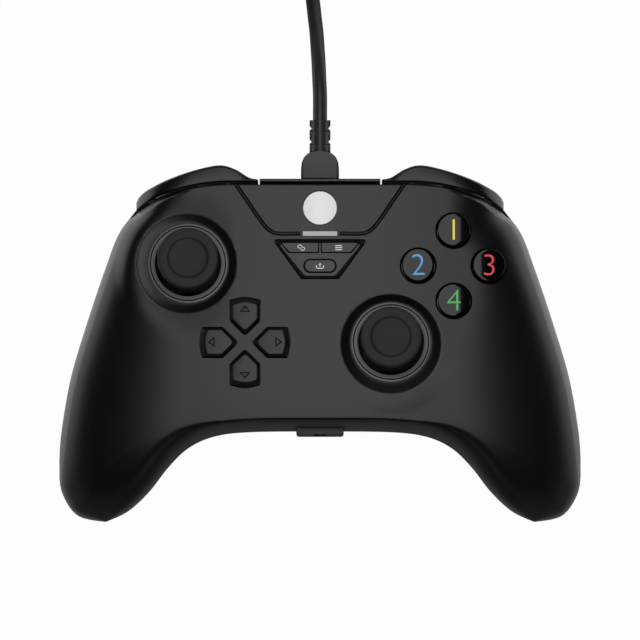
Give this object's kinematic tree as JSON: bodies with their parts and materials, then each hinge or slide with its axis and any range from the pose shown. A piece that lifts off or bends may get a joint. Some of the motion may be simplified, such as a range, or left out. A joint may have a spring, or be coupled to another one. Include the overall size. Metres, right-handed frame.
{
  "type": "wired gamepad controller",
  "caption": "Wired gamepad with two thumb sticks, direction keys, face buttons, bumpers, triggers and a coiled cable.",
  "frame": {"origin": "on the surface it stands on, under the middle of the pad's length and width without the cord", "axes": "+X to the player's right hand, +Y away from the player towards the cable, +Z out of the face"},
  "size_m": [0.1568, 0.2336, 0.0576],
  "materials": {
    "shell": "fine matte texture",
    "lever": "satin",
    "panel": "satin",
    "key": "satin",
    "button": "polished",
    "home": "satin pale",
    "light": "translucent",
    "ring": "satin",
    "cap": "matte",
    "housing": "moulded",
    "gimbal": "moulded",
    "steel": "plain",
    "board": "solder mask",
    "mat": "matte",
    "cord": "satin",
    "plug": "moulded"
  },
  "bodies": {
    "root": {"top_shell": "shell", "bottom_shell": "shell", "front_bridge": "lever", "jack_plate": "lever", "control_panel": "panel", "light_bar": "light", "left_stick_ring": "ring", "right_stick_ring": "ring", "left_stick_housing": "housing", "right_stick_housing": "housing", "audio_jack": "housing", "trigger_frame": "housing", "left_trigger_pin": "steel", "right_trigger_pin": "steel", "left_trigger_spring": "steel", "right_trigger_spring": "steel", "case_screws": "steel", "usb_socket": "steel", "left_rumble_motor": "steel", "right_rumble_motor": "steel", "main_board": "board", "face_mat": "mat", "dpad_mat": "mat", "centre_mat": "mat", "cord_lead": "cord", "cord_coil": "cord", "strain_relief": "cord", "cord_tie": "cord", "usb_plug": "plug", "far_plug": "plug"},
    "face_button_top": {"face_button_top": "button"},
    "face_button_left": {"face_button_left": "button"},
    "face_button_right": {"face_button_right": "button"},
    "face_button_bottom": {"face_button_bottom": "button"},
    "dpad_key_up": {"dpad_key_up": "key"},
    "dpad_key_down": {"dpad_key_down": "key"},
    "dpad_key_left": {"dpad_key_left": "key"},
    "dpad_key_right": {"dpad_key_right": "key"},
    "home_button": {"home_button": "home"},
    "view_key": {"view_key": "key"},
    "menu_key": {"menu_key": "key"},
    "share_key": {"share_key": "key"},
    "left_yoke": {"left_stick_yoke": "gimbal"},
    "left_cross": {"left_stick_cross": "gimbal"},
    "left_stick": {"left_stick_shaft": "steel", "left_stick_cap": "cap"},
    "right_yoke": {"right_stick_yoke": "gimbal"},
    "right_cross": {"right_stick_cross": "gimbal"},
    "right_stick": {"right_stick_shaft": "steel", "right_stick_cap": "cap"},
    "left_trigger": {"left_trigger": "lever"},
    "left_bumper": {"left_bumper": "lever"},
    "left_weight": {"left_rumble_weight": "steel"},
    "right_trigger": {"right_trigger": "lever"},
    "right_bumper": {"right_bumper": "lever"},
    "right_weight": {"right_rumble_weight": "steel"}
  },
  "joints": [
    {"name": "face_button_top_press", "type": "slide", "parent": "root", "child": "face_button_top", "axis": [0, 0, -1], "range_m": [0, 0.0011], "stiffness_N_per_m": 800},
    {"name": "face_button_left_press", "type": "slide", "parent": "root", "child": "face_button_left", "axis": [0, 0, -1], "range_m": [0, 0.0011], "stiffness_N_per_m": 800},
    {"name": "face_button_right_press", "type": "slide", "parent": "root", "child": "face_button_right", "axis": [0, 0, -1], "range_m": [0, 0.0011], "stiffness_N_per_m": 800},
    {"name": "face_button_bottom_press", "type": "slide", "parent": "root", "child": "face_button_bottom", "axis": [0, 0, -1], "range_m": [0, 0.0011], "stiffness_N_per_m": 800},
    {"name": "dpad_key_up_press", "type": "slide", "parent": "root", "child": "dpad_key_up", "axis": [0, 0, -1], "range_m": [0, 0.0011], "stiffness_N_per_m": 800},
    {"name": "dpad_key_down_press", "type": "slide", "parent": "root", "child": "dpad_key_down", "axis": [0, 0, -1], "range_m": [0, 0.0011], "stiffness_N_per_m": 800},
    {"name": "dpad_key_left_press", "type": "slide", "parent": "root", "child": "dpad_key_left", "axis": [0, 0, -1], "range_m": [0, 0.0011], "stiffness_N_per_m": 800},
    {"name": "dpad_key_right_press", "type": "slide", "parent": "root", "child": "dpad_key_right", "axis": [0, 0, -1], "range_m": [0, 0.0011], "stiffness_N_per_m": 800},
    {"name": "home_button_press", "type": "slide", "parent": "root", "child": "home_button", "axis": [0, 0, -1], "range_m": [0, 0.0006], "stiffness_N_per_m": 1500},
    {"name": "view_key_press", "type": "slide", "parent": "root", "child": "view_key", "axis": [0, 0, -1], "range_m": [0, 0.0006], "stiffness_N_per_m": 1500},
    {"name": "menu_key_press", "type": "slide", "parent": "root", "child": "menu_key", "axis": [0, 0, -1], "range_m": [0, 0.0006], "stiffness_N_per_m": 1500},
    {"name": "share_key_press", "type": "slide", "parent": "root", "child": "share_key", "axis": [0, 0, -1], "range_m": [0, 0.0006], "stiffness_N_per_m": 1500},
    {"name": "left_stick_tilt_y", "type": "hinge", "parent": "root", "child": "left_yoke", "pos_m": [-0.0389, 0.0218, 0.0365], "axis": [1, 0, 0], "range_deg": [-18, 18], "stiffness_Nm_per_rad": 0.08},
    {"name": "left_stick_tilt_x", "type": "hinge", "parent": "left_yoke", "child": "left_cross", "pos_m": [-0.0389, 0.0218, 0.0365], "axis": [0, 1, 0], "range_deg": [-18, 18], "stiffness_Nm_per_rad": 0.08},
    {"name": "left_stick_click", "type": "slide", "parent": "left_cross", "child": "left_stick", "axis": [0, 0, -1], "range_m": [0, 0.0006], "stiffness_N_per_m": 3000},
    {"name": "right_stick_tilt_y", "type": "hinge", "parent": "root", "child": "right_yoke", "pos_m": [0.0209, -0.0016, 0.0365], "axis": [1, 0, 0], "range_deg": [-18, 18], "stiffness_Nm_per_rad": 0.08},
    {"name": "right_stick_tilt_x", "type": "hinge", "parent": "right_yoke", "child": "right_cross", "pos_m": [0.0209, -0.0016, 0.0365], "axis": [0, 1, 0], "range_deg": [-18, 18], "stiffness_Nm_per_rad": 0.08},
    {"name": "right_stick_click", "type": "slide", "parent": "right_cross", "child": "right_stick", "axis": [0, 0, -1], "range_m": [0, 0.0006], "stiffness_N_per_m": 3000},
    {"name": "left_trigger_pull", "type": "hinge", "parent": "root", "child": "left_trigger", "pos_m": [-0.0345, 0.0365, 0.0245], "axis": [-1, 0, 0], "range_deg": [0, 22], "stiffness_Nm_per_rad": 0.1, "deforming": ["left_trigger_spring"]},
    {"name": "left_bumper_press", "type": "hinge", "parent": "root", "child": "left_bumper", "pos_m": [-0.0206, 0.0442, 0.038], "axis": [0, 0, 1], "range_deg": [0, 1.5], "stiffness_Nm_per_rad": 1.7},
    {"name": "left_rumble_spin", "type": "hinge", "parent": "root", "child": "left_weight", "pos_m": [-0.057, -0.024, 0.01], "axis": [0, 0, 1], "continuous": true},
    {"name": "right_trigger_pull", "type": "hinge", "parent": "root", "child": "right_trigger", "pos_m": [0.0345, 0.0365, 0.0245], "axis": [-1, 0, 0], "range_deg": [0, 22], "stiffness_Nm_per_rad": 0.1, "deforming": ["right_trigger_spring"]},
    {"name": "right_bumper_press", "type": "hinge", "parent": "root", "child": "right_bumper", "pos_m": [0.0206, 0.0442, 0.038], "axis": [0, 0, -1], "range_deg": [0, 1.5], "stiffness_Nm_per_rad": 1.7},
    {"name": "right_rumble_spin", "type": "hinge", "parent": "root", "child": "right_weight", "pos_m": [0.057, -0.024, 0.01], "axis": [0, 0, 1], "continuous": true}
  ]
}
